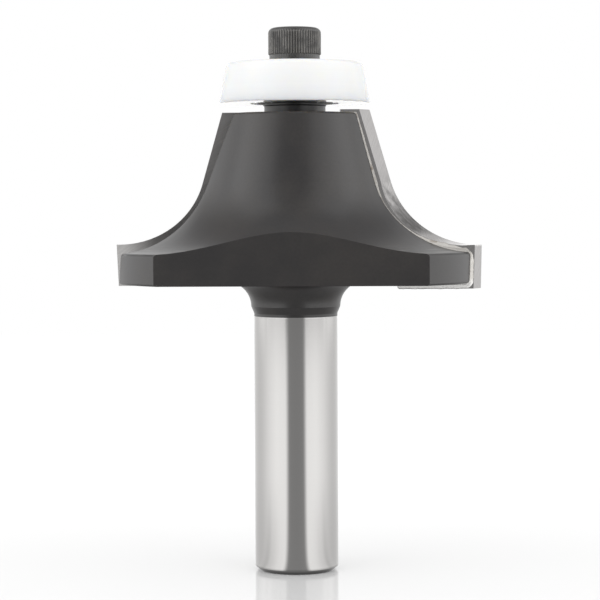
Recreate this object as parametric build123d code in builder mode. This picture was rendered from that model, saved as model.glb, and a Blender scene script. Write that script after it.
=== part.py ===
from build123d import *
from math import asin, cos, degrees, pi, radians, sin, sqrt, tan
import os

# A two-flute cove and lip router bit. A tapered plastic guide roller turns on a small ball
# bearing above the cutter, held by a socket head cap screw.
# Millimetres. The origin is the centre of the shank's end, +Z runs up the axis to the screw,
# and the first tip points along +X. The cutter turns counter-clockwise seen from above.

# cutting edge, as it sweeps round the axis
cutting_diameter = 54.0
cove_radius = 12.7
cove_land = 0.43            # flat ring between the cove and the lip
lip_height = 6.1            # upright edge that trims the rim
taper_angle = 17.5          # slope of the edge above the cove, from the axis
cutting_height = 25.25
flutes = 2

# carbide tips
tip_thickness = 2.0
rake_offset = 3.7           # rake face to the axis, at the top of the tip
shear_angle = 7.3           # lean of the rake face towards the shank
relief_angle = 16.0
relief_hollow = 0.5         # relief is ground deeper at the tip's back, mid-way up the cove
tip_width = 4.25            # cutting edge to the tip's inner edge, at its top
braze_thickness = 0.35
braze_inset = 0.45          # braze inside the tip's ground face, all round
braze_corner = 0.7          # braze is cut off by this much at the lip's upper corner

# cutter body
projection = 1.0            # tip's edge stands this far out of the steel
body_taper_angle = 16.2     # slope of the steel above the cove, from the axis
rim_corner_radius = 0.5     # rounding between the rim and the cove
tip_overhang_top = 0.45
tip_overhang_bottom = 0.75
rake_proud = 0.2            # tip's rake face in front of the steel
flat_distance = 18.0        # each of the two flats to the axis
flat_turn = 1.8             # flats are turned from the tips by this much
gullet_floor_step = 0.75    # floor of the gullet inside the tip's inner edge
gullet_wall_offset = 5.0    # far wall of the gullet to the axis, at its floor
gullet_wall_angle = 28.0    # far wall opens outwards by this much
gullet_corner_radius = 2.2
edge_break = 0.25

# shank and neck
shank_diameter = 12.0
shank_length = 37.1
shank_chamfer = 0.6
neck_diameter = 12.84
neck_chamfer = 1.0          # height of the cone between shank and neck
neck_root_radius = 3.5

# collar that carries the bearing's inner ring
collar_diameter = 8.8
collar_lip = 0.12           # collar's upper edge is wider by this much all round
collar_lip_height = 0.4
collar_height = 1.5
seat_height = 0.15          # raised seat that touches the inner ring only
seat_diameter = 6.6

# ball bearing
bearing_bore = 4.762
bearing_diameter = 12.7
bearing_width = 4.978
land_spacing = 1.95         # gap between the two rings, measured on the radius
ball_diameter = 2.381
ball_count = 7
race_clearance = 0.02       # ball to groove
ring_chamfer = 0.15
cage_clearance = 0.3        # cage to the rings
cage_pocket_clearance = 0.06
cage_skirt = 0.6            # cage below the middle of the balls
cage_rim = 0.5              # closed ring of the cage above the balls
shield_thickness = 0.2
shield_recess = 0.25        # shield below the rings' faces
shield_gap = 0.1            # shield to the inner ring
shield_seat = 0.15          # step in the outer ring that holds the shield
shield_fit = 0.01           # shield's edge to the step's wall

# guide roller
roller_diameter = 21.7      # at its lower, wider edge
roller_taper = 10.0
roller_height = 5.8
roller_skirt = 0.1          # roller below the bearing
roller_top_round = 0.7
roller_bottom_round = 0.25
roller_bore_clearance = 0.01
roller_shoulder_gap = 0.02  # bearing to the roller's shoulder
roller_window_diameter = 10.6

# washer and cap screw
washer_diameter = 6.9
washer_thickness = 0.82
washer_clearance = 0.06
screw_diameter = 4.72
screw_reach = 9.0           # screw below the bearing
thread_clearance = 0.04
screw_end_gap = 1.2         # hole beyond the screw's end
screw_end_chamfer = 0.5
head_diameter = 7.56
head_height = 4.9
head_band_step = 0.15       # plain band under the grip is narrower by this much all round
head_band_height = 1.07
head_foot_step = 0.28       # underside of the head is narrower by this much all round
head_foot_height = 0.25
head_round = 0.8
socket_width = 3.97
socket_depth = 2.6

# heights and angles that follow
body_bottom = shank_length + neck_chamfer + neck_root_radius
tip_bottom = body_bottom - tip_overhang_bottom
tip_top = tip_bottom + cutting_height
body_top = tip_top - tip_overhang_top
lip_top = tip_bottom + lip_height
cove_centre_height = lip_top + cove_radius
cove_centre_radius = cutting_diameter / 2 - cove_land
collar_top = body_top + collar_height
bearing_bottom = collar_top + seat_height
bearing_middle = bearing_bottom + bearing_width / 2
bearing_top = bearing_bottom + bearing_width
pitch_diameter = (bearing_bore + bearing_diameter) / 2
inner_land_diameter = pitch_diameter - land_spacing
outer_land_diameter = pitch_diameter + land_spacing
roller_bottom = bearing_bottom - roller_skirt
roller_top = roller_bottom + roller_height
washer_top = bearing_top + washer_thickness
head_top = washer_top + head_height
screw_end = bearing_bottom - screw_reach
groove_radius = ball_diameter / 2 + race_clearance
shield_step_depth = shield_recess + shield_thickness
taper = radians(taper_angle)
body_taper = radians(body_taper_angle)
shear = radians(shear_angle)
relief = radians(relief_angle)
flute_turns = [360 / flutes * number for number in range(flutes)]
cutter_reach = cutting_diameter  # longer than any cut through the cutter has to be

os.makedirs("parts", exist_ok=True)


# the swept form, in the half plane of radius and height

def cove_start(inset, corner=0):
    """Angle on the cove's arc, from straight down, where a form drawn `inset` inside begins."""
    foot_radius = min(cutting_diameter / 2 - inset - corner, cove_centre_radius)
    return asin((cove_centre_radius - foot_radius) / (cove_radius + inset))


def cove_point(inset, angle):
    """Radius and height on the cove's arc at an angle from straight down."""
    arc = cove_radius + inset
    return (cove_centre_radius - arc * sin(angle), cove_centre_height - arc * cos(angle))


def taper_radius(inset, height, slope=taper):
    """Radius of the straight slope above the cove."""
    radius, start = cove_point(inset, pi / 2 - slope)
    return radius - (height - start) * tan(slope)


# carbide tips and braze

tip_root = sqrt(taper_radius(0, tip_top) ** 2 - rake_offset**2) - tip_width
gullet_floor = tip_root - gullet_floor_step


def rake_plane(turn):
    """Plane of a rake face: local x runs outwards and local y up the edge, the tip is behind."""
    return Plane(
        origin=Vector(0, -rake_offset, tip_top).rotate(Axis.Z, turn),
        x_dir=Vector(1, 0, 0).rotate(Axis.Z, turn),
        z_dir=Vector(0, -cos(shear), sin(shear)).rotate(Axis.Z, turn),
    )


def on_rake_plane(point, depth):
    """Place of a swept point on the plane `depth` behind the rake face, with its relief."""
    radius, height = point
    up = (height - tip_top - depth * sin(shear)) / cos(shear)
    across = rake_offset + depth * cos(shear) - up * sin(shear)
    return (sqrt(radius**2 - across**2) - depth * tan(relief), up)


def inner_edge(up):
    """Place along local x of the tip's inner edge, which runs beside the taper."""
    return tip_root - up * tan(taper)


def form_outline(turn, depth, inset, corner=0):
    """Face from the tip's inner edge out to the cutting form, `depth` behind the rake face."""
    cove_steps = 8
    first = cove_start(inset, corner)
    stride = (pi / 2 - taper - first) / cove_steps
    hollow = relief_hollow * depth / tip_thickness
    cove = []
    for step in range(cove_steps + 1):
        deeper = hollow * sin(pi * step / cove_steps)
        cove.append(cove_point(inset + deeper, first + stride * step))
    low = tip_bottom + inset
    high = tip_top - inset
    lip_radius = cutting_diameter / 2 - inset
    foot = on_rake_plane((lip_radius, low), depth)
    lip = on_rake_plane((lip_radius, cove[0][1] - corner), depth)
    cove_places = [on_rake_plane(point, depth) for point in cove]
    top = on_rake_plane((taper_radius(inset, high), high), depth)
    with BuildSketch(rake_plane(turn).offset(depth)) as outline:
        with BuildLine():
            Line(foot, lip)
            if corner or lip_radius > cove_centre_radius:
                Line(lip, cove_places[0])
            Spline(cove_places)
            Line(cove_places[-1], top)
            Polyline(top, (inner_edge(top[1]), top[1]), (inner_edge(foot[1]), foot[1]), foot)
        make_face()
    return outline.sketch


for number, turn in enumerate(flute_turns, start=1):
    with BuildPart() as carbide_tip:
        loft([form_outline(turn, 0, 0), form_outline(turn, tip_thickness, 0)], ruled=True)
    carbide_tip.part.label = f"carbide_tip_{number}"

    with BuildPart() as braze_seam:
        outline = form_outline(turn, tip_thickness, braze_inset, braze_corner)
        extrude(outline, amount=braze_thickness)
    braze_seam.part.label = f"braze_seam_{number}"

    export_step(carbide_tip.part, f"parts/carbide_tip_{number}.step")
    export_step(braze_seam.part, f"parts/braze_seam_{number}.step")


# cutter body with its shank

rim_radius = cutting_diameter / 2 - projection
neck_top = shank_length + neck_chamfer
body_cove = cove_radius + projection
cove_first = cove_start(projection)
top_radius = taper_radius(projection, body_top, body_taper)

with BuildPart() as body:
    with BuildSketch(Plane.XZ) as section:
        with BuildLine():
            Polyline(
                (0, 0),
                (shank_diameter / 2 - shank_chamfer, 0),
                (shank_diameter / 2, shank_chamfer),
                (shank_diameter / 2, shank_length),
                (neck_diameter / 2, neck_top),
            )
            CenterArc((neck_diameter / 2 + neck_root_radius, neck_top), neck_root_radius, 180, -90)
            Polyline(
                (neck_diameter / 2 + neck_root_radius, body_bottom),
                (rim_radius - edge_break, body_bottom),
                (rim_radius, body_bottom + edge_break),
                (rim_radius, cove_point(projection, cove_first)[1]),
            )
            if rim_radius > cove_centre_radius:
                Line((rim_radius, cove_point(projection, 0)[1]), cove_point(projection, 0))
            CenterArc(
                (cove_centre_radius, cove_centre_height),
                body_cove,
                -90 - degrees(cove_first),
                body_taper_angle - 90 + degrees(cove_first),
            )
            Polyline(
                cove_point(projection, pi / 2 - body_taper),
                (top_radius + edge_break * tan(body_taper), body_top - edge_break),
                (top_radius - edge_break, body_top),
                (collar_diameter / 2, body_top),
                (collar_diameter / 2, collar_top - collar_lip_height),
                (collar_diameter / 2 + collar_lip, collar_top - collar_lip_height + collar_lip),
                (collar_diameter / 2 + collar_lip, collar_top),
                (seat_diameter / 2, collar_top),
                (seat_diameter / 2, bearing_bottom),
                (0, bearing_bottom),
                (0, 0),
            )
        make_face()
        fillet(section.vertices().group_by(Axis.X)[-1].sort_by(Axis.Y)[-1], rim_corner_radius)
    revolve(axis=Axis.Z)

    # two flats across the rim
    with BuildSketch(Plane.XY.offset(body_bottom)):
        with PolarLocations(flat_distance + cutter_reach / 2, flutes, start_angle=-90 - flat_turn):
            Rectangle(cutter_reach, 2 * cutter_reach)
    extrude(amount=body_top - body_bottom, mode=Mode.SUBTRACT)

    for turn in flute_turns:
        outwards = Vector(1, 0, 0).rotate(Axis.Z, turn)

        # gullet in front of the tip, cut down along the taper and the shear
        wall_rise = cutter_reach * tan(radians(gullet_wall_angle))
        with BuildSketch(Plane(origin=(0, 0, tip_top), x_dir=outwards, z_dir=(0, 0, 1))) as gullet:
            with BuildLine():
                Polyline(
                    (gullet_floor, -rake_offset - rake_proud),
                    (gullet_floor, gullet_wall_offset),
                    (gullet_floor + cutter_reach, gullet_wall_offset + wall_rise),
                    (gullet_floor + cutter_reach, -rake_offset - rake_proud),
                    close=True,
                )
            make_face()
            fillet(gullet.vertices().group_by(Axis.X)[0], gullet_corner_radius)
        downwards = Vector(tan(taper), -tan(shear), -1).rotate(Axis.Z, turn)
        extrude(amount=cutter_reach, dir=downwards, mode=Mode.SUBTRACT)

        # seat of the tip, open to the gullet
        seat_depth = tip_thickness + braze_thickness
        with BuildSketch(rake_plane(turn).offset(seat_depth)):
            with BuildLine():
                Polyline(
                    (inner_edge(cutting_height), cutting_height),
                    (cutter_reach, cutting_height),
                    (cutter_reach, -2 * cutting_height),
                    (inner_edge(-2 * cutting_height), -2 * cutting_height),
                    close=True,
                )
            make_face()
        extrude(amount=-seat_depth - gullet_corner_radius, mode=Mode.SUBTRACT)

    # screw hole
    with Locations((0, 0, bearing_bottom)):
        Hole(screw_diameter / 2 + thread_clearance, depth=screw_reach + screw_end_gap)
body.part.label = "body"
export_step(body.part, "parts/body.step")


# ball bearing

def bearing_ring(inner, outer):
    """Half section of a ring between two diameters, with the ball groove cut in it."""
    with BuildSketch(Plane.XZ) as section:
        with Locations(((inner + outer) / 4, bearing_middle)):
            Rectangle((outer - inner) / 2, bearing_width)
        chamfer(section.vertices(), ring_chamfer)
        with Locations((pitch_diameter / 2, bearing_middle)):
            Circle(groove_radius, mode=Mode.SUBTRACT)
    return section.sketch


with BuildPart() as bearing_inner_ring:
    revolve(bearing_ring(bearing_bore, inner_land_diameter), axis=Axis.Z)
bearing_inner_ring.part.label = "bearing_inner_ring"
export_step(bearing_inner_ring.part, "parts/bearing_inner_ring.step")

shield_edge = outer_land_diameter / 2 + shield_seat
with BuildPart() as bearing_outer_ring:
    revolve(bearing_ring(outer_land_diameter, bearing_diameter), axis=Axis.Z)
    for face_height, inwards in ((bearing_bottom, 1), (bearing_top, -1)):
        with BuildSketch(Plane.XY.offset(face_height)):
            Circle(shield_edge)
        extrude(amount=inwards * shield_step_depth, mode=Mode.SUBTRACT)
bearing_outer_ring.part.label = "bearing_outer_ring"
export_step(bearing_outer_ring.part, "parts/bearing_outer_ring.step")

for side, low in (
    ("top", bearing_top - shield_step_depth),
    ("bottom", bearing_bottom + shield_recess),
):
    with BuildPart() as shield:
        with BuildSketch(Plane.XY.offset(low)):
            Circle(shield_edge - shield_fit)
            Circle(inner_land_diameter / 2 + shield_gap, mode=Mode.SUBTRACT)
        extrude(amount=shield_thickness)
    shield.part.label = f"bearing_shield_{side}"
    export_step(shield.part, f"parts/bearing_shield_{side}.step")

ball_places = [
    Vector(pitch_diameter / 2, 0, bearing_middle).rotate(Axis.Z, 360 / ball_count * number)
    for number in range(ball_count)
]
for number, place in enumerate(ball_places, start=1):
    with BuildPart() as ball:
        with Locations(place):
            Sphere(ball_diameter / 2)
    ball.part.label = f"bearing_ball_{number}"
    export_step(ball.part, f"parts/bearing_ball_{number}.step")

with BuildPart() as bearing_cage:
    with BuildSketch(Plane.XY.offset(bearing_middle - cage_skirt)):
        Circle(outer_land_diameter / 2 - cage_clearance)
        Circle(inner_land_diameter / 2 + cage_clearance, mode=Mode.SUBTRACT)
    extrude(amount=cage_skirt + ball_diameter / 2 + cage_pocket_clearance + cage_rim)
    with Locations(ball_places):
        Sphere(ball_diameter / 2 + cage_pocket_clearance, mode=Mode.SUBTRACT)
bearing_cage.part.label = "bearing_cage"
export_step(bearing_cage.part, "parts/bearing_cage.step")


# guide roller, pressed over the bearing from below

bore_radius = bearing_diameter / 2 + roller_bore_clearance
shoulder_height = bearing_top + roller_shoulder_gap
roller_top_radius = roller_diameter / 2 - roller_height * tan(radians(roller_taper))
with BuildPart() as roller_sleeve:
    with BuildSketch(Plane.XZ) as section:
        with BuildLine():
            Polyline(
                (bore_radius, roller_bottom),
                (roller_diameter / 2, roller_bottom),
                (roller_top_radius, roller_top),
                (roller_window_diameter / 2, roller_top),
                (roller_window_diameter / 2, shoulder_height),
                (bore_radius, shoulder_height),
                close=True,
            )
        make_face()
        fillet(section.vertices().sort_by(Axis.X)[-1], roller_bottom_round)
        fillet(section.vertices().group_by(Axis.Y)[-1].sort_by(Axis.X)[-1], roller_top_round)
    revolve(axis=Axis.Z)
roller_sleeve.part.label = "roller_sleeve"
export_step(roller_sleeve.part, "parts/roller_sleeve.step")


# washer and cap screw

with BuildPart() as washer:
    with BuildSketch(Plane.XY.offset(bearing_top)):
        Circle(washer_diameter / 2)
        Circle(screw_diameter / 2 + washer_clearance, mode=Mode.SUBTRACT)
    extrude(amount=washer_thickness)
washer.part.label = "washer"
export_step(washer.part, "parts/washer.step")

foot_radius = head_diameter / 2 - head_foot_step
band_radius = head_diameter / 2 - head_band_step
with BuildPart() as cap_screw:
    with BuildSketch(Plane.XZ) as section:
        with BuildLine():
            Polyline(
                (0, screw_end),
                (screw_diameter / 2 - screw_end_chamfer, screw_end),
                (screw_diameter / 2, screw_end + screw_end_chamfer),
                (screw_diameter / 2, washer_top),
                (foot_radius, washer_top),
                (foot_radius, washer_top + head_foot_height),
                (band_radius, washer_top + head_foot_height),
                (band_radius, washer_top + head_band_height),
                (head_diameter / 2, washer_top + head_band_height),
                (head_diameter / 2, head_top),
                (0, head_top),
                close=True,
            )
        make_face()
        fillet(section.vertices().group_by(Axis.Y)[-1].sort_by(Axis.X)[-1], head_round)
    revolve(axis=Axis.Z)
    with BuildSketch(Plane.XY.offset(head_top)):
        RegularPolygon(socket_width / 2, 6, major_radius=False)
    extrude(amount=-socket_depth, mode=Mode.SUBTRACT)
cap_screw.part.label = "cap_screw"
export_step(cap_screw.part, "parts/cap_screw.step")
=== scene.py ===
from math import cos, pi, radians, sin, tan

import bpy
import numpy as np
from mathutils import Matrix, Vector


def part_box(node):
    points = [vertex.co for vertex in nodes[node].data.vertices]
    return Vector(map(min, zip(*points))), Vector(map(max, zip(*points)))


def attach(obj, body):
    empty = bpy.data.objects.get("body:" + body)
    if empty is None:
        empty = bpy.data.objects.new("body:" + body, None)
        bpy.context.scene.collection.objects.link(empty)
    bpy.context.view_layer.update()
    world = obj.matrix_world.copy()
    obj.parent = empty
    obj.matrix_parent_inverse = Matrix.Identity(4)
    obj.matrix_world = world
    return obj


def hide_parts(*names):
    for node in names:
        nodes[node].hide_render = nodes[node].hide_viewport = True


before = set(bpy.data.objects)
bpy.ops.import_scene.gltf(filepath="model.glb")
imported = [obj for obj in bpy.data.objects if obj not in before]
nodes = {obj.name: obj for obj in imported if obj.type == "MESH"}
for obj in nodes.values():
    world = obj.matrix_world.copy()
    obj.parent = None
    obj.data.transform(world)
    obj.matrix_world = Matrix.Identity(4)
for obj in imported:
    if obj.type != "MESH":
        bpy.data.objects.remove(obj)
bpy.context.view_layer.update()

# Looks of a cove and lip router bit with a guide roller. Metres, +Z up the axis, and the camera
# looks along +Y at the second tip's rake face on the left and the first tip's back on the right.

nodeBox = {name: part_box(name) for name in nodes}
print("frame loaded,", len(nodes), "nodes")


# small helpers for node trees

noiseSpan = (0.3, 0.7)      # nearly all of a noise lies between these values
edgeSamples = 6             # looks round a point for an edge to round


def add(tree, kind, inputs=None, **settings):
    node = tree.nodes.new("ShaderNode" + kind)
    for name, value in settings.items():
        setattr(node, name, value)
    for key, value in (inputs or {}).items():
        if isinstance(value, bpy.types.NodeSocket):
            tree.links.new(value, node.inputs[key])
        else:
            node.inputs[key].default_value = value
    return node


def calc(tree, operation, *values):
    return add(tree, "Math", dict(enumerate(values)), operation=operation).outputs[0]


def times(tree, product, *others):
    for other in others:
        product = calc(tree, "MULTIPLY", product, other)
    return product


def without(tree, share):
    # what a share leaves over
    return calc(tree, "SUBTRACT", 1, share)


def length(tree, vector):
    return add(tree, "VectorMath", {0: vector}, operation="LENGTH").outputs["Value"]


def scaled(tree, colour, share):
    return add(tree, "VectorMath", {0: colour, 3: share}, operation="SCALE").outputs[0]


def stretched(tree, where, shares):
    return add(tree, "VectorMath", {0: where, 1: shares}, operation="MULTIPLY").outputs[0]


def pair(tree, first, second):
    return add(tree, "CombineXYZ", {0: first, 1: second}).outputs[0]


def blend(tree, share, first, second):
    return add(tree, "Mix", {0: share, 2: first, 3: second}).outputs[0]


def blendColour(tree, share, *colours):
    first, second = (colour if isinstance(colour, bpy.types.NodeSocket) else (*colour, 1)
                     for colour in colours)
    return add(tree, "Mix", {0: share, 6: first, 7: second}, data_type="RGBA").outputs[2]


def ramp(tree, value, span, low=0, high=1):
    # straight ramp from low to high while the value crosses the span, flat outside it
    return add(tree, "MapRange", {0: value, 1: span[0], 2: span[1], 3: low, 4: high}).outputs[0]


def toneRamp(tree, value, stops):
    # grey tones at shares of the way, straight between them
    tones = add(tree, "ValToRGB", {0: value})
    marks = tones.color_ramp.elements
    last = len(stops) - 1
    for number, (position, tone) in enumerate(stops):
        stop = marks[number] if number in (0, last) else marks.new(position)
        stop.position = position
        stop.color = (tone, tone, tone, 1)
    return tones.outputs[0]


def noise(tree, vector, spacing, detail=2.0, dimensions="3D", rough=0.5):
    inputs = {"Vector": vector, "Scale": 1 / spacing, "Detail": detail, "Roughness": rough}
    return add(tree, "TexNoise", inputs, noise_dimensions=dimensions).outputs["Fac"]


def newMaterial(name, finish):
    material = bpy.data.materials.new(name)
    material.use_nodes = True
    tree = material.node_tree
    shader = tree.nodes["Principled BSDF"]
    for socket, value in finish.items():
        shader.inputs[socket].default_value = value
    return material, tree, shader


def place(tree):
    # Object coordinates, and their three parts
    where = add(tree, "TexCoord").outputs["Object"]
    return where, add(tree, "SeparateXYZ", {0: where}).outputs


def axisDistance(tree, where):
    return length(tree, stretched(tree, where, (1, 1, 0)))


def turnedLines(tree, where, height, spacing, detail=3.0):
    # noise over distance to the axis and height alone, so that it makes rings round the axis
    return noise(tree, pair(tree, axisDistance(tree, where), height), spacing, detail, "2D")


def alongTurning(tree, where):
    # the normal's part along the turning: 1 on a face that leads, -1 on one that trails
    normal = add(tree, "TexCoord").outputs["Normal"]
    spot = add(tree, "SeparateXYZ", {0: where}).outputs
    turn = pair(tree, times(tree, spot["Y"], -1), spot["X"])
    turn = add(tree, "VectorMath", {0: turn}, operation="NORMALIZE").outputs[0]
    return add(tree, "VectorMath", {0: normal, 1: turn}, operation="DOT_PRODUCT").outputs["Value"]


def offTurned(tree, where, span):
    # 0 on a surface turned about the axis, 1 on a milled one
    return ramp(tree, calc(tree, "ABSOLUTE", alongTurning(tree, where)), span)


def relief(tree, shader, height, strength, depth, edge=0.0):
    # bump from a height, over edges rounded by a small radius
    inputs = {"Height": height, "Strength": strength, "Distance": depth}
    if edge:
        rounded = add(tree, "Bevel", {"Radius": edge}, samples=edgeSamples)
        inputs["Normal"] = rounded.outputs[0]
    bump = add(tree, "Bump", inputs)
    tree.links.new(bump.outputs[0], shader.inputs["Normal"])


def dress(names, material):
    for name in names:
        nodes[name].data.materials.clear()
        nodes[name].data.materials.append(material)


# cutter body: black coat down to the neck, ground steel below

bodyLook = {
    "coatEnd": 0.0367,              # the coat stops here, just under the neck's cone
    "coat": (0.0168, 0.0148, 0.0152),
    "coatWarm": (0.0262, 0.0222, 0.0202),
    "patches": 0.007,               # size of the warmer patches in the coat
    "warmSpan": (0.40, 0.68),
    "specks": 0.00035,              # size of the fine specks
    "speckTones": (0.90, 1.12),
    "coatRoughness": (0.29, 0.36),
    "coatIor": 1.68,
    "steel": (0.48, 0.472, 0.464),
    "steelTones": (0.98, 1.02),     # of the rings left by the grinding
    "steelRoughness": 0.13,
    "chamferShade": 0.27,                  # painted shade: share of light left on the chamfer at the shank's end
    "chamferShadeHeights": (0.0003, 0.0009),
    "lines": 0.00012,               # spacing of the turning marks
    "strokes": (0.1, 0.1, 1),       # marks on milled faces are drawn out level by these shares
    "milled": (0.06, 0.12),         # normal's part along the turning, from turned to milled
    "flatDistance": 0.01797,        # a hair inside the two flats
    "flatTurn": 1.8,
    "bump": (0.18, 0.00002, 0.00007),       # strength, depth, rounding of the edges
    "steelBump": 0.25,              # share of the bump left on the ground steel
    "bumpHeights": (0.0365, 0.0367),
    "rubbed": (0.42, 0.41, 0.40),
    "rubbedRadii": (0.0205, 0.0255),        # the cove's outer ends are rubbed, over these radii
    "rubbedHeights": (0.0457, 0.0461),
    "rubbedLines": 0.0004,          # spacing of the bright marks
    "rubbedLineSpan": (0.50, 0.66),
    "rubbedShare": 0.5,
    "rubbedPatches": 0.0035,        # size of the patches that have them
    "rubbedPatchSpan": (0.42, 0.60),
}


def coatedSteel():
    look = bodyLook
    material, tree, shader = newMaterial("coatedSteel", {"IOR": look["coatIor"]})
    where, spot = place(tree)
    z = spot["Z"]
    bare = calc(tree, "LESS_THAN", z, look["coatEnd"])

    # milled flats and gullets have straight cutter marks instead of rings
    turned = add(tree, "Mapping", {"Vector": where, "Rotation": (0, 0, radians(look["flatTurn"]))})
    flatSpot = add(tree, "SeparateXYZ", {0: turned.outputs[0]}).outputs
    fromAxis = calc(tree, "ABSOLUTE", flatSpot["Y"])
    onFlat = calc(tree, "GREATER_THAN", fromAxis, look["flatDistance"])
    milled = calc(tree, "MAXIMUM", offTurned(tree, where, look["milled"]), onFlat)
    rings = turnedLines(tree, where, z, look["lines"])
    strokes = noise(tree, stretched(tree, where, look["strokes"]), look["lines"])
    marks = blend(tree, milled, rings, strokes)

    patches = noise(tree, where, look["patches"], 3)
    coat = blendColour(tree, ramp(tree, patches, look["warmSpan"]), look["coat"], look["coatWarm"])
    specks = noise(tree, where, look["specks"])
    coat = scaled(tree, coat, ramp(tree, specks, noiseSpan, *look["speckTones"]))

    # towards the rim, patches of the turning marks are rubbed bright
    lines = turnedLines(tree, where, z, look["rubbedLines"], 4)
    lines = ramp(tree, lines, look["rubbedLineSpan"], 0, look["rubbedShare"])
    inPatch = ramp(tree, noise(tree, where, look["rubbedPatches"], 3), look["rubbedPatchSpan"])
    farOut = ramp(tree, axisDistance(tree, where), look["rubbedRadii"])
    overRim = ramp(tree, z, look["rubbedHeights"])
    rubbed = times(tree, farOut, overRim, lines, inPatch, without(tree, onFlat))
    coat = blendColour(tree, rubbed, coat, look["rubbed"])

    shine = ramp(tree, rings, noiseSpan, *look["steelTones"])
    # painted shade: the ground steel is darkened over its lowest part, on the chamfer at the
    # shank's end
    shine = times(tree, shine, ramp(tree, z, look["chamferShadeHeights"], look["chamferShade"]))
    steel = scaled(tree, look["steel"], shine)
    tree.links.new(blendColour(tree, bare, coat, steel), shader.inputs["Base Color"])
    tree.links.new(bare, shader.inputs["Metallic"])
    coatGloss = ramp(tree, patches, noiseSpan, *look["coatRoughness"])
    gloss = blend(tree, bare, coatGloss, look["steelRoughness"])
    tree.links.new(gloss, shader.inputs["Roughness"])
    height = times(tree, marks, ramp(tree, z, look["bumpHeights"], look["steelBump"]))
    relief(tree, shader, height, *look["bump"])
    return material


dress(["body"], coatedSteel())
print("body finished")


# carbide tips and their braze

tipLook = {
    "carbide": (0.41, 0.40, 0.395),
    "roughness": 0.30,
    "bump": (0.35, 0.00002, 0.00004),
    "marks": 0.00009,               # spacing of the grinding marks
    "markLength": 0.003,
    "markRise": 0.8,                # how steep the marks are, and how far they lean
    "markLean": 0.6,
    "markRough": 0.6,
    "markTones": (0.86, 1.12),
    "coveMarks": 0.00024,           # spacing of the wheel's marks round the cove
    "coveDrift": 0.12,              # how fast they change along the arc
    "coveRough": 0.65,
    "coveSpan": (0.34, 0.66),
    "coveTones": (0.66, 1.30),
    "coveCentre": (0.02657, 0.05965),
    "coveTop": (0.0545, 0.0570),    # those marks fade out between these heights
    "lipEnd": (0.0483, 0.0492),     # and the ground face is smoother from here down to the lip
    "lipTop": (0.04672, 0.04692),
    "lipRoughness": 0.12,
    "lipBump": 0.12,
    "facing": (0.5, 0.7),           # normal's part along the turning, from ground back to flat face
    "highlighted": (0.0215, 0.0262),    # the rake face is painted lighter towards the corner, over these radii: a painted highlight
    "highlightTone": (0.62, 0.61, 0.60),
    "highlightMetal": 0.35,
    # tone of the ground back at shares of the way between the two heights: a painted highlight low
    # down near the lip, and darker in the band above that
    "backHeights": (0.0466, 0.0590),
    "backHighlightTones": ((0.0, 1.0), (0.01, 1.0), (0.035, 2.1), (0.13, 2.1), (0.19, 1.1), (0.24, 0.66),
                  (0.31, 0.50), (0.43, 0.68), (0.54, 0.80), (0.68, 0.80), (0.90, 0.97),
                  (1.0, 1.0)),
}


def groundCarbide():
    look = tipLook
    material, tree, shader = newMaterial("groundCarbide", {"Metallic": 1.0})
    where, spot = place(tree)
    z = spot["Z"]
    # marks lean: noise drawn out along a slanted line on each face
    sideways = times(tree, calc(tree, "ADD", spot["X"], spot["Y"]), look["markLean"])
    across = calc(tree, "SUBTRACT", times(tree, z, look["markRise"]), sideways)
    along = times(tree, z, look["marks"] / look["markLength"])
    marks = noise(tree, pair(tree, across, along), look["marks"], 3, "2D", look["markRough"])
    shade = ramp(tree, marks, noiseSpan, *look["markTones"])

    # marks round the cove: noise over the distance to the cove's centre, drawn out along the arc
    radius, height = look["coveCentre"]
    fromCentre = pair(tree, calc(tree, "SUBTRACT", axisDistance(tree, where), radius),
                      calc(tree, "SUBTRACT", z, height))
    onArc = pair(tree, length(tree, fromCentre), times(tree, z, look["coveDrift"]))
    coveMarks = noise(tree, onArc, look["coveMarks"], 3, "2D", look["coveRough"])
    coveMarks = ramp(tree, coveMarks, look["coveSpan"], *look["coveTones"])
    onBack = without(tree, offTurned(tree, where, look["facing"]))
    aboveLip = ramp(tree, z, look["lipEnd"])
    inCove = times(tree, ramp(tree, z, look["coveTop"], 1, 0), aboveLip, onBack)
    # painted highlight on the ground back near the lip, from its tone by height
    tones = toneRamp(tree, ramp(tree, z, look["backHeights"]), look["backHighlightTones"])
    shade = times(tree, shade, blend(tree, inCove, 1, coveMarks), blend(tree, onBack, 1, tones))

    smooth = times(tree, without(tree, aboveLip), onBack, ramp(tree, z, look["lipTop"]))
    gloss = blend(tree, smooth, look["roughness"], look["lipRoughness"])
    tree.links.new(gloss, shader.inputs["Roughness"])
    # painted highlight: the rake face is paler and less metal towards the corner
    leading = ramp(tree, alongTurning(tree, where), look["facing"])
    highlighted = times(tree, ramp(tree, axisDistance(tree, where), look["highlighted"]), leading)
    colour = blendColour(tree, highlighted, look["carbide"], look["highlightTone"])
    tree.links.new(scaled(tree, colour, shade), shader.inputs["Base Color"])
    tree.links.new(blend(tree, highlighted, 1, look["highlightMetal"]), shader.inputs["Metallic"])
    height = times(tree, marks, blend(tree, smooth, 1, look["lipBump"]))
    relief(tree, shader, height, *look["bump"])
    return material


brazeLook = {
    "solder": (0.68, 0.655, 0.62),
    "tarnish": (0.40, 0.35, 0.30),
    "blots": 0.0013,                # size of the tarnished blots
    "blotSpan": (0.52, 0.72),
    "paleReflection": (0.97, 0.96, 0.94),
    "paleReflectionHeights": (0.0414, 0.0424),       # under the tip's lower end it is painted pale: a painted reflection of the bright floor
    "metal": 0.4,
    "roughness": 0.36,
    "lumps": 0.0007,
    "bump": (0.3, 0.0001, 0.00008),
}


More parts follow.
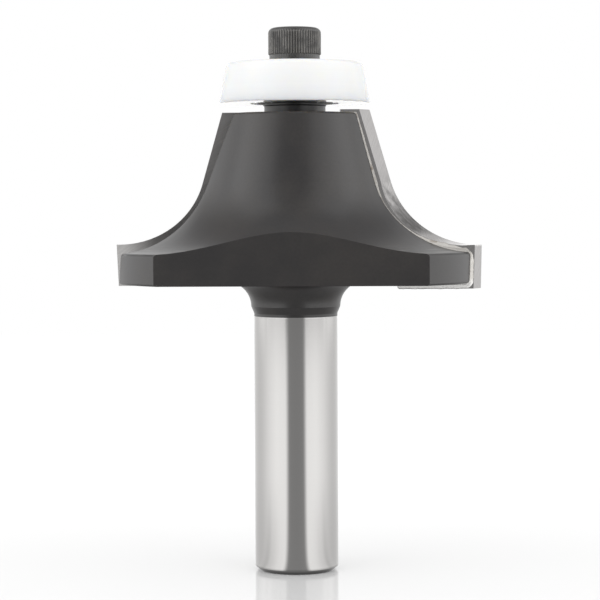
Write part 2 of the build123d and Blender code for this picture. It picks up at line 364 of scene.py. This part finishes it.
def silverSolder():
    look = brazeLook
    finish = {"Metallic": look["metal"], "Roughness": look["roughness"]}
    material, tree, shader = newMaterial("silverSolder", finish)
    where, spot = place(tree)
    blots = ramp(tree, noise(tree, where, look["blots"], 3), look["blotSpan"])
    colour = blendColour(tree, blots, look["solder"], look["tarnish"])
    # painted reflection: the solder is pale under the tip's lower end
    reflecting = ramp(tree, spot["Z"], look["paleReflectionHeights"], 1, 0)
    colour = blendColour(tree, reflecting, colour, look["paleReflection"])
    tree.links.new(colour, shader.inputs["Base Color"])
    relief(tree, shader, noise(tree, where, look["lumps"]), *look["bump"])
    return material


dress(["carbide_tip_1", "carbide_tip_2"], groundCarbide())
solder = silverSolder()
dress(["braze_seam_1", "braze_seam_2"], solder)
print("tips finished")


# bead of solder in the corner between each tip's back and the edge of the steel

beadForm = {
    # the steel's outline: radius and height, as in the source
    "bottom": 0.0416, "top": 0.06565, "rim": 0.026, "rimCorner": 0.0005, "edgeBreak": 0.00025,
    "coveCentre": (0.02657, 0.05965), "coveRadius": 0.0137, "taper": 16.2,
    # the tip: its rake face leans, and the bead begins and ends at these radii
    "tipTop": 0.0661, "rakeOffset": 0.0037, "shear": 7.3, "innerLow": 0.01700, "innerTop": 0.00905,
    "tipThickness": 0.002, "seamThickness": 0.00035,
    "cornerMiddle": 0.29,       # the rim's rounded corner is cut in by this share of its radius
    "coveSteps": 120,
    "points": 900,
    "softening": 9,             # points over which the outline's corners are softened
    "across": 7,
    "climb": 0.00012,           # bead on the steel's own surface
    "hollow": 0.35,             # the arc's middle is hollow by this share of the width
    "sunk": 0.00003,            # the bead's foot lies this far inside the tip
    "behind": 0.00012,          # the loop is closed this far inside the steel's edge,
    "closing": (0.00002, 0.00004),      # just behind the seam and just behind the tip's back
    "ends": (0.004, 0.3),       # over this share of the way each end grows from this width
    # numbers and heights of the waves in its width and in its climb, which has a later seed
    "lumps": ((17, 0.03), (37, 0.03), (83, 0.015)),
    "climbLumps": ((31, 0.24), (67, 0.12)),
    "climbSeed": 5,
    "sharp": 50,                # edges sharper than this angle aren't smoothed
    # width of the bead at shares of the way: bottom, rim, cove, taper, top
    "widths": ((0.0, 0.00074), (0.20, 0.00072), (0.225, 0.00060), (0.24, 0.00060),
               (0.285, 0.00060), (0.303, 0.00044), (0.32, 0.00034), (0.335, 0.00055),
               (0.36, 0.00080), (0.40, 0.00076), (0.43, 0.00060), (0.46, 0.00042),
               (0.50, 0.00026), (0.56, 0.00013), (0.66, 0.00010), (0.72, 0.00013),
               (0.76, 0.00024), (0.88, 0.00026), (0.95, 0.00018), (1.0, 0.00015)),
}


def smoothLine(points, count, softening):
    # the same line with its points at equal distances and its corners softened
    step = np.hypot(*np.diff(points, axis=0).T)
    way = np.concatenate([[0], np.cumsum(step)])
    even = np.linspace(0, way[-1], count)
    line = np.stack([np.interp(even, way, column) for column in points.T], axis=-1)
    window = np.hanning(softening)[1:-1]
    window /= window.sum()
    beyond = len(window) // 2
    padded = np.pad(line, ((beyond, beyond), (0, 0)), mode="edge")
    return np.stack([np.convolve(column, window, mode="valid") for column in padded.T], axis=-1)


def beadOutline():
    # the steel's outline in the half plane of radius and height, from under the tip's inner edge,
    # out along the bottom, up the rim, round the cove and the taper, and in along the top
    form = beadForm
    centre = np.array(form["coveCentre"])
    low, rim, cut, lift = form["bottom"], form["rim"], form["edgeBreak"], form["rimCorner"]
    slope = radians(form["taper"])
    first = np.arcsin((centre[0] - rim) / form["coveRadius"])
    angles = np.linspace(first, pi / 2 - slope, form["coveSteps"])
    cove = centre - form["coveRadius"] * np.stack([np.sin(angles), np.cos(angles)], axis=-1)
    slopeTop = cove[-1] + np.array([-tan(slope), 1]) * (form["top"] - cut - cove[-1][1])
    rimTop = cove[0][1]
    cutIn = lift * form["cornerMiddle"]
    points = np.concatenate([
        [(form["innerLow"], low), (rim - cut, low), (rim, low + cut), (rim, rimTop - lift)],
        [(rim - cutIn, rimTop - cutIn)],
        cove[cove[:, 0] < rim - lift],
        [slopeTop, (slopeTop[0] - cut, form["top"]), (form["innerTop"], form["top"])],
    ])
    return smoothLine(points, form["points"], form["softening"])


def onTip(radius, height, depth):
    # place of a swept point on the plane `depth` behind the rake face: outwards, as the root of
    # the radius squared less the offset squared, and up the edge, along the lean
    form = beadForm
    lean = radians(form["shear"])
    up = (height - form["tipTop"] - depth * sin(lean)) / cos(lean)
    across = form["rakeOffset"] + depth * cos(lean) - up * sin(lean)
    return np.stack([np.sqrt(radius ** 2 - across ** 2), up], axis=-1)


def fromTip(flat, depth, turn):
    # that place in the object's own frame: leant, set back by the offset, turned with the flute
    form = beadForm
    lean = radians(form["shear"])
    x = flat[..., 0]
    y = -form["rakeOffset"] + flat[..., 1] * sin(lean) - depth * cos(lean)
    z = form["tipTop"] + flat[..., 1] * cos(lean) + depth * sin(lean)
    return np.stack([x * cos(turn) - y * sin(turn), x * sin(turn) + y * cos(turn), z], axis=-1)


def ripple(share, seed, waves):
    # sum of sines of set numbers and heights along the way, each with an offset of its own and
    # with its phase swayed by a slower sine
    offsets, sway, slower = (1.7, 2.1), 0.6, 0.31
    total = np.zeros_like(share)
    for number, (count, height) in enumerate(waves):
        phase = 2 * pi * share * count
        offset = seed * offsets[0] + number * offsets[1]
        total += height * np.sin(phase + offset + sway * np.sin(phase * slower + seed))
    return total


def solderBead(number):
    # for every point of the outline an arc runs from the tip's back face, one bead width out, to
    # the steel's surface, and the loop is closed through the joint
    form = beadForm
    outline = beadOutline()
    count = len(outline)
    share = np.linspace(0, 1, count)
    thickness = form["tipThickness"]
    seat = thickness + form["seamThickness"]
    edge = onTip(outline[:, 0], outline[:, 1], seat)
    along = np.gradient(edge, axis=0)
    along /= np.hypot(*along.T)[:, None]
    away = np.stack([along[:, 1], -along[:, 0]], axis=-1)
    stops, sizes = np.array(form["widths"]).T
    width = np.interp(share, stops, sizes) * (1 + ripple(share, number, form["lumps"]))
    endShare, endWidth = form["ends"]
    ends = np.clip(np.minimum(share, 1 - share) / endShare, 0, 1) ** 0.5
    width = width * (endWidth + (1 - endWidth) * ends)
    climbRipple = ripple(share, number + form["climbSeed"], form["climbLumps"])
    climb = form["climb"] * (1 + climbRipple)

    rows = []
    for step in np.linspace(0, 1, form["across"]):
        # a flat arc: it comes in from one width to none, and its depth goes from the tip's back
        # to the steel's surface
        reach = width * (1 - step) * (1 - form["hollow"] * sin(pi * step))
        depth = thickness - form["sunk"] + (seat + climb - thickness) * step
        rows.append((edge + away * reach[:, None], depth))
    inside = edge - away * form["behind"]
    rows.append((inside, np.full(count, seat + form["closing"][0])))
    rows.append((inside, np.full(count, thickness + form["closing"][1])))
    turn = pi * (number - 1)
    grid = np.stack([fromTip(flat, depth, turn) for flat, depth in rows], axis=1)

    # closed tube: quads between neighbouring rows, a face at each end
    around = grid.shape[1]
    here = np.arange(count * around).reshape(count, around)
    beside = np.roll(here, -1, axis=1)
    quads = np.stack([here[:-1], here[1:], beside[1:], beside[:-1]], axis=-1).reshape(-1, 4)
    faces = quads.tolist() + [here[0].tolist(), here[-1][::-1].tolist()]
    mesh = bpy.data.meshes.new("solder_bead_" + str(number))
    mesh.from_pydata(grid.reshape(-1, 3).tolist(), [], faces)
    mesh.shade_smooth()
    mesh.set_sharp_from_angle(angle=radians(form["sharp"]))
    mesh.materials.append(solder)
    bead = bpy.data.objects.new(mesh.name, mesh)
    bpy.context.scene.collection.objects.link(bead)
    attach(bead, "cutter")
    return bead


beads = [solderBead(number) for number in (1, 2)]
print("solder beads finished,", sum(len(bead.data.polygons) for bead in beads), "faces")


# guide roller

rollerLook = {
    "plastic": (0.95, 0.938, 0.912),
    "ior": 1.5,
    "roughness": 0.18,
    "faceRoughness": 0.04,          # of the flat face below
    "faceReach": (0.00002, 0.0002),         # how far above it the finish changes
    "depth": 0.0035,                # how far light spreads in it
    "depthShares": (1.0, 0.9, 0.75),        # and how much of that each of red, green and blue
    "lines": 0.00025,
    "lineTones": (0.985, 1.0),
    "bump": (0.08, 0.00002, 0.00008),
}


def rollerPlastic():
    look = rollerLook
    finish = {"IOR": look["ior"], "Subsurface Weight": 1.0,
              "Subsurface Scale": look["depth"], "Subsurface Radius": look["depthShares"]}
    material, tree, shader = newMaterial("rollerPlastic", finish)
    where, spot = place(tree)
    rings = turnedLines(tree, where, spot["Z"], look["lines"])
    shade = ramp(tree, rings, noiseSpan, *look["lineTones"])
    tree.links.new(scaled(tree, look["plastic"], shade), shader.inputs["Base Color"])
    face = nodeBox["roller_sleeve"][0].z
    heights = [face + reach for reach in look["faceReach"]]
    gloss = ramp(tree, spot["Z"], heights, look["faceRoughness"], look["roughness"])
    tree.links.new(gloss, shader.inputs["Roughness"])
    relief(tree, shader, rings, *look["bump"])
    return material


dress(["roller_sleeve"], rollerPlastic())
print("roller finished")


# ball bearing and washer

bearingLook = {
    # tone, roughness, spacing of the turning marks, share of bare metal
    # the outer ring and the shields are paler and less metal than their steel: painted light, so
    # that their undersides facing the dark body read light
    "outerRing": ((0.92, 0.915, 0.91), 0.05, 0.00012, 0.15),
    "innerRing": ((0.62, 0.615, 0.61), 0.08, 0.00012, 1.0),
    "ball": ((0.72, 0.715, 0.71), 0.06, 0.0, 1.0),
    "shield": ((0.90, 0.89, 0.87), 0.20, 0.0003, 0.55),
    "cage": ((0.56, 0.53, 0.46), 0.30, 0.0004, 1.0),
    "washer": ((0.46, 0.455, 0.44), 0.34, 0.0002, 1.0),
    "markTones": (0.92, 1.06),
    "markBump": (0.03, 0.00001),
    "clouds": 0.0008,               # size of the faint clouds where there are no marks
    "cloudTones": (0.97, 1.02),
}


def turnedSteel(name):
    look = bearingLook
    tone, roughness, spacing, metal = look[name]
    finish = {"Metallic": metal, "Roughness": roughness}
    material, tree, shader = newMaterial(name + "Steel", finish)
    where, spot = place(tree)
    if spacing:
        marks = turnedLines(tree, where, spot["Z"], spacing)
        shade = ramp(tree, marks, noiseSpan, *look["markTones"])
        relief(tree, shader, marks, *look["markBump"])
    else:
        shade = ramp(tree, noise(tree, where, look["clouds"]), noiseSpan, *look["cloudTones"])
    tree.links.new(scaled(tree, tone, shade), shader.inputs["Base Color"])
    return material


dress(["bearing_outer_ring"], turnedSteel("outerRing"))
dress(["bearing_inner_ring"], turnedSteel("innerRing"))
dress([name for name in nodes if name.startswith("bearing_ball")], turnedSteel("ball"))
dress(["bearing_shield_top", "bearing_shield_bottom"], turnedSteel("shield"))
dress(["bearing_cage"], turnedSteel("cage"))
dress(["washer"], turnedSteel("washer"))
print("bearing finished")


# cap screw with its straight knurl, hex socket and thread

screwForm = {
    "shankRadius": 0.00236,
    "threadPitch": 0.0008,
    "threadDepth": 0.00036,
    "threadFlank": 1.25,            # how steep the flanks are
    "threadSteps": 10,              # rows of points in one pitch
    "plainNeck": 0.0012,            # smooth shank under the head
    "neckRow": 0.0001,              # last row of points below the head
    "endChamfer": 0.0005,
    "footRadius": 0.0035,
    "footChamfer": 0.0001,
    "footHeight": 0.00025,
    "bandRadius": 0.00363,
    "bandHeight": 0.00107,
    "bandGroove": 0.00008,
    "teeth": 60,
    "samplesPerTooth": 6,
    "toothDepth": 0.00013,
    "toothStart": 0.25,             # share of a tooth by which the first one is turned
    "toothFlank": 1.5,
    "toothChamfer": 0.00006,
    "gripRows": 5,
    "headRound": 0.0008,
    "roundRows": 11,
    "runOut": 0.55,                 # the teeth end at this angle on the rounded edge
    "socketWidth": 0.00397,
    "socketDepth": 0.0026,
    "socketRows": 5,
    "socketStart": 0.15,            # first of these rows, as a share of the depth
    "socketChamfer": 0.00025,
    "chamferFall": 0.6,
    "mouthEdge": 0.00002,
    "mouthFall": 0.00004,
    "floorShare": 0.98,             # of the socket's width, where the drill's cone begins,
    "floorStep": 0.00001,           # this far below the hex
    "drillCone": 0.0006,            # depth of the cone at the socket's floor
    "sharp": 28,                    # edges sharper than this angle aren't smoothed
}


def zigzag(way):
    # triangle wave between 0 and 1, once in each whole step of the way
    return np.abs(way % 1 - 0.5) * 2


def flanks(wave, slope):
    # the wave made steeper about its middle and cut off at 0 and 1: flat crests and grooves
    return np.clip(slope * (wave - 0.5) + 0.5, 0, 1)


def screwRows():
    # rings of points from the screw's tip up, over the head and down into the socket
    form = screwForm
    low, high = nodeBox["cap_screw"]
    seat = nodeBox["washer"][1].z
    headRadius = high.x
    count = form["teeth"] * form["samplesPerTooth"]
    turn = np.arange(count) * 2 * pi / count

    # tooth: 1 on a ridge and 0 in a groove, straight flanks between them
    beat = turn * form["teeth"] / (2 * pi) + form["toothStart"]
    tooth = flanks(zigzag(beat), form["toothFlank"])
    rows = []

    def ring(radius, height):
        rows.append((np.broadcast_to(radius, count), np.broadcast_to(height, count)))

    # thread: the radius falls from a crest and rises again once in each pitch of height, and the
    # pattern climbs one pitch in one turn
    pitch, chamfer, shankRadius = form["threadPitch"], form["endChamfer"], form["shankRadius"]
    threadTop = seat - form["plainNeck"]
    steps = int((threadTop - low.z) / pitch * form["threadSteps"])
    ring(shankRadius - chamfer, low.z)
    for height in np.linspace(low.z, threadTop, steps):
        wave = zigzag(height / pitch - turn / (2 * pi))
        tipCone = np.clip(chamfer - (height - low.z), 0, None)
        fade = np.clip((threadTop - height) / pitch, 0, 1)
        cut = form["threadDepth"] * fade * flanks(wave, form["threadFlank"])
        ring(np.minimum(shankRadius - cut, shankRadius - tipCone), height)
    ring(shankRadius, seat - form["neckRow"])
    ring(shankRadius, seat)

    # underside, foot and plain band
    footTop = seat + form["footHeight"]
    bandTop = seat + form["bandHeight"]
    ring(form["footRadius"] - form["footChamfer"], seat)
    ring(form["footRadius"], seat + form["footChamfer"])
    ring(form["footRadius"], footTop)
    ring(form["bandRadius"], footTop)
    ring(form["bandRadius"], bandTop - form["bandGroove"])

    # grip, then the rounded edge where the teeth run out
    groove = form["toothDepth"] * (1 - tooth)
    ring(headRadius - groove - form["toothChamfer"], bandTop)
    headRound = form["headRound"]
    roundStart = high.z - headRound
    for height in np.linspace(bandTop + form["toothChamfer"], roundStart, form["gripRows"]):
        ring(headRadius - groove, height)
    for angle in np.linspace(0, pi / 2, form["roundRows"] + 1)[1:]:
        fade = np.clip(1 - angle / form["runOut"], 0, 1)
        arcRadius = headRadius - headRound * (1 - cos(angle))
        ring(arcRadius - groove * fade, roundStart + headRound * sin(angle))

    # hex socket: its radius at each angle is half the width over the cosine to the nearest flat
    half = form["socketWidth"] / 2
    hexRadius = half / np.cos(turn % (pi / 3) - pi / 6)
    mouth = np.maximum(hexRadius, half + form["socketChamfer"])
    ring(mouth + form["mouthEdge"], high.z)
    ring(mouth, high.z - form["mouthEdge"])
    ring(hexRadius, high.z - (mouth - hexRadius) * form["chamferFall"] - form["mouthFall"])
    for share in np.linspace(form["socketStart"], 1, form["socketRows"]):
        ring(hexRadius, high.z - form["socketDepth"] * share)
    hexEnd = high.z - form["socketDepth"]
    ring(half * form["floorShare"], hexEnd - form["floorStep"])
    radii, heights = np.array(rows).transpose(1, 0, 2)
    return turn, radii, heights, low.z, hexEnd - form["drillCone"]


def turnedPiece(name, turn, radii, heights, firstPole, lastPole):
    # grid of points (radius times cosine and sine of the turn, height), closed round the axis,
    # with a fan of triangles to a pole at each end
    count = len(turn)
    grid = np.stack([radii * np.cos(turn), radii * np.sin(turn), heights], axis=-1)
    points = np.concatenate([grid.reshape(-1, 3), [[0, 0, firstPole], [0, 0, lastPole]]])
    rows = len(radii)
    here = np.arange((rows - 1) * count).reshape(rows - 1, count)
    beside = np.roll(here, -1, axis=1)
    quads = np.stack([here, beside, beside + count, here + count], axis=-1).reshape(-1, 4)
    edge = np.arange(count)
    ahead = np.roll(edge, -1)
    top = (rows - 1) * count
    bottomFan = np.stack([ahead, edge, np.full(count, rows * count)], axis=-1)
    topFan = np.stack([edge + top, ahead + top, np.full(count, rows * count + 1)], axis=-1)
    mesh = bpy.data.meshes.new(name)
    mesh.from_pydata(points.tolist(), [], quads.tolist() + bottomFan.tolist() + topFan.tolist())
    mesh.shade_smooth()
    mesh.set_sharp_from_angle(angle=radians(screwForm["sharp"]))
    piece = bpy.data.objects.new(name, mesh)
    bpy.context.scene.collection.objects.link(piece)
    return piece


screwLook = {
    "coat": (0.046, 0.044, 0.042),
    "blots": 0.0011,                # size of the blots in the coat
    "blotTones": (0.75, 1.35),
    "ior": 1.75,
    "roughness": (0.23, 0.37),
    "glossPatches": 0.0008,
    "rubbed": (0.30, 0.29, 0.275),
    "rubbedShare": 0.7,
    "crest": (0.00009, 0.00001),    # ridges are rubbed from the first to the second depth
    "wear": 0.0014,                 # size of the rubbed places
    "wearSpan": (0.38, 0.58),
    "grain": 0.0002,
    "bump": (0.25, 0.00002),
}


def blackOxide():
    look = screwLook
    material, tree, shader = newMaterial("blackOxide", {"IOR": look["ior"]})
    where = place(tree)[0]
    outer = nodeBox["cap_screw"][1].x
    # ridges are rubbed to bare metal in places
    crest = ramp(tree, axisDistance(tree, where), [outer - depth for depth in look["crest"]])
    worn = ramp(tree, noise(tree, where, look["wear"], 3), look["wearSpan"])
    rubbed = times(tree, crest, worn, look["rubbedShare"])
    blots = ramp(tree, noise(tree, where, look["blots"], 3), noiseSpan, *look["blotTones"])
    colour = blendColour(tree, rubbed, scaled(tree, look["coat"], blots), look["rubbed"])
    tree.links.new(colour, shader.inputs["Base Color"])
    tree.links.new(rubbed, shader.inputs["Metallic"])
    patches = noise(tree, where, look["glossPatches"])
    tree.links.new(ramp(tree, patches, noiseSpan, *look["roughness"]), shader.inputs["Roughness"])
    relief(tree, shader, noise(tree, where, look["grain"]), *look["bump"])
    return material


knurledScrew = turnedPiece("knurled_cap_screw", *screwRows())
knurledScrew.data.materials.append(blackOxide())
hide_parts("cap_screw")
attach(knurledScrew, "cutter")
print("cap screw finished,", len(knurledScrew.data.polygons), "faces")


# floor, lamps, world and camera

studio = {
    "floorHalf": 30.0,
    "floorTone": (0.93, 0.93, 0.93),
    "floorRoughness": 0.08,
    "floorIor": 1.5,
    "floorGlow": (0.12, 1.0),       # share of plain white, beside the object and far off
    "glowReach": (0.06, 0.58),
    "leftPanel": {"turn": -58, "width": 0.665, "strength": 0.74},
    "rightPanel": {"turn": 57, "width": 0.75, "strength": 0.61},
    "panelDistance": 0.60,
    "panelHeight": 1.40,
    "panelMiddle": 0.67,
    # tones in what is glossy, at shares of the way from the camera's side to the back wall: the
    # walls, the floor's painted reflection far off and close to the object, where a painted shadow
    # darkens it, and the ceiling
    "roomTones": ((0.0, 0.33), (0.12, 0.34), (0.32, 0.38), (0.42, 0.62), (0.52, 1.3),
                  (0.60, 1.50), (0.70, 1.42), (0.85, 1.02), (0.93, 1.0), (0.975, 1.0),
                  (0.99, 1.2), (1.0, 1.2)),
    "floorTones": ((0.0, 0.38), (0.028, 0.41), (0.060, 1.62), (0.213, 1.66), (0.289, 1.58),
                   (0.371, 1.48), (0.456, 1.36), (0.57, 1.18), (0.68, 1.05), (0.79, 1.0),
                   (0.93, 1.0), (1.0, 1.0)),
    "nearShadowTones": ((0.0, 0.38), (0.028, 0.41), (0.060, 1.54), (0.14, 1.46), (0.24, 1.22),
                  (0.31, 1.14), (0.38, 0.90), (0.50, 1.0), (0.60, 0.92), (1.0, 0.88)),
    "overheadTones": ((0.0, 0.43), (0.25, 0.42), (0.5, 0.62), (0.7, 0.50), (0.84, 0.46),
                      (0.93, 0.75), (1.0, 0.85)),
    "nearReach": (0.012, 0.11),     # the near tones give way to the far ones between these
    "wallReach": (0.56, 0.64),      # and those to the walls'
    "backdropTop": (0.19, 0.34),    # the walls give way to the ceiling between these heights
    "sideWalls": (0.58, 0.86),      # towards the sides the ceiling stays bright
    "sideTone": 1.28,
    "plateTone": 0.42,              # the floor seen from above, without the panels
    "grazing": (0.06, 0.30),        # shares of mirrored light over which that tone gives way
    "fillTone": 0.82,               # plain light from all round on what isn't glossy
}


def makeFloor():
    half = studio["floorHalf"]
    corners = [(-half, -half, 0), (half, -half, 0), (half, half, 0), (-half, half, 0)]
    mesh = bpy.data.meshes.new("floor")
    mesh.from_pydata(corners, [], [(0, 1, 2, 3)])
    floor = bpy.data.objects.new("floor", mesh)
    bpy.context.scene.collection.objects.link(floor)
    finish = {"Base Color": (*studio["floorTone"], 1), "Roughness": studio["floorRoughness"],
              "IOR": studio["floorIor"]}
    material, tree, shader = newMaterial("glossyPlate", finish)
    where = place(tree)[0]
    distance = axisDistance(tree, where)
    ray = add(tree, "LightPath").outputs
    # seen directly the plate fades to plain white, fully so far off, and keeps its shadow near by
    white = times(tree, ramp(tree, distance, studio["glowReach"], *studio["floorGlow"]),
                  ray["Is Camera Ray"])
    glow = add(tree, "Emission", {0: (1, 1, 1, 1), 1: 1.0})
    seen = add(tree, "MixShader", {0: white, 1: shader.outputs[0], 2: glow.outputs[0]})

    # in the metal it glows with a painted reflection of the panels and the dim front of the room,
    # as a mirror-like plate would show them, and with a painted plain tone where it is seen from
    # above
    way = add(tree, "VectorMath", {0: where}, operation="NORMALIZE").outputs[0]
    ahead = ramp(tree, add(tree, "SeparateXYZ", {0: way}).outputs["Y"], (-1, 1))
    walls, far, close = (toneRamp(tree, ahead, studio[name])
                         for name in ("roomTones", "floorTones", "nearShadowTones"))
    tones = blendColour(tree, ramp(tree, distance, studio["wallReach"]), far, walls)
    tones = blendColour(tree, ramp(tree, distance, studio["nearReach"], 1, 0), tones, close)
    mirror = add(tree, "Emission", {0: tones, 1: 1.0})
    plate = add(tree, "Emission", {0: (1, 1, 1, 1), 1: studio["plateTone"]})
    fresnel = add(tree, "Fresnel", {"IOR": studio["floorIor"]}).outputs[0]
    grazing = ramp(tree, fresnel, studio["grazing"])
    mirrored = add(tree, "MixShader", {0: grazing, 1: plate.outputs[0], 2: mirror.outputs[0]})
    inputs = {0: ray["Is Glossy Ray"], 1: seen.outputs[0], 2: mirrored.outputs[0]}
    both = add(tree, "MixShader", inputs)
    tree.links.new(both.outputs[0], tree.nodes["Material Output"].inputs[0])
    mesh.materials.append(material)


def makePanel(name):
    # a tall soft panel that faces the axis from its place on a circle round it
    panel = studio[name]
    area = panel["width"] * studio["panelHeight"]
    lamp = bpy.data.lights.new(name, "AREA")
    lamp.shape = "RECTANGLE"
    lamp.size = panel["width"]
    lamp.size_y = studio["panelHeight"]
    lamp.energy = panel["strength"] * pi * area     # panel's own brightness times pi times its area
    holder = bpy.data.objects.new(name, lamp)
    angle = radians(panel["turn"])
    spot = Vector((sin(angle), -cos(angle), 0)) * studio["panelDistance"]
    spot.z = studio["panelMiddle"]
    holder.location = spot
    holder.rotation_euler = (pi / 2, 0, angle)
    holder.visible_camera = False
    bpy.context.scene.collection.objects.link(holder)


def makeWorld():
    # white to the camera, a room that is dim in front of the object to what is glossy, and an even
    # tone to everything else
    world = bpy.data.worlds.new("room")
    bpy.context.scene.world = world
    world.use_nodes = True
    tree = world.node_tree
    tree.nodes.clear()
    way = add(tree, "TexCoord").outputs["Generated"]
    spot = add(tree, "SeparateXYZ", {0: way}).outputs
    ahead = ramp(tree, spot["Y"], (-1, 1))
    walls = toneRamp(tree, ahead, studio["roomTones"])
    ceiling = toneRamp(tree, ahead, studio["overheadTones"])
    aside = ramp(tree, calc(tree, "ABSOLUTE", spot["X"]), studio["sideWalls"])
    ceiling = blendColour(tree, aside, ceiling, [studio["sideTone"]] * 3)
    room = blendColour(tree, ramp(tree, spot["Z"], studio["backdropTop"]), walls, ceiling)
    ray = add(tree, "LightPath").outputs
    fill = blendColour(tree, ray["Is Glossy Ray"], [studio["fillTone"]] * 3, room)
    colour = blendColour(tree, ray["Is Camera Ray"], fill, (1, 1, 1))
    background = add(tree, "Background", {0: colour, 1: 1.0})
    add(tree, "OutputWorld", {0: background.outputs[0]})


cameraPlace = {
    "spot": (0.00061, -0.30496, 0.05251),
    "lens": 127.04,
    "sensor": 36,
    "nearest": 0.01,
    "pitch": 0.0444,
    "roll": 0.0046,
}


def makeCamera():
    camera = bpy.data.objects.new("camera", bpy.data.cameras.new("camera"))
    camera.data.lens = cameraPlace["lens"]
    camera.data.sensor_width = cameraPlace["sensor"]
    camera.data.clip_start = cameraPlace["nearest"]
    down = Matrix.Rotation(pi / 2 - cameraPlace["pitch"], 4, "X")
    leaning = Matrix.Rotation(-cameraPlace["roll"], 4, "Z")
    camera.matrix_world = Matrix.Translation(cameraPlace["spot"]) @ down @ leaning
    bpy.context.scene.collection.objects.link(camera)
    bpy.context.scene.camera = camera


makeFloor()
makePanel("leftPanel")
makePanel("rightPanel")
makeWorld()
makeCamera()
bpy.context.scene.view_settings.view_transform = "Standard"
print("studio finished")
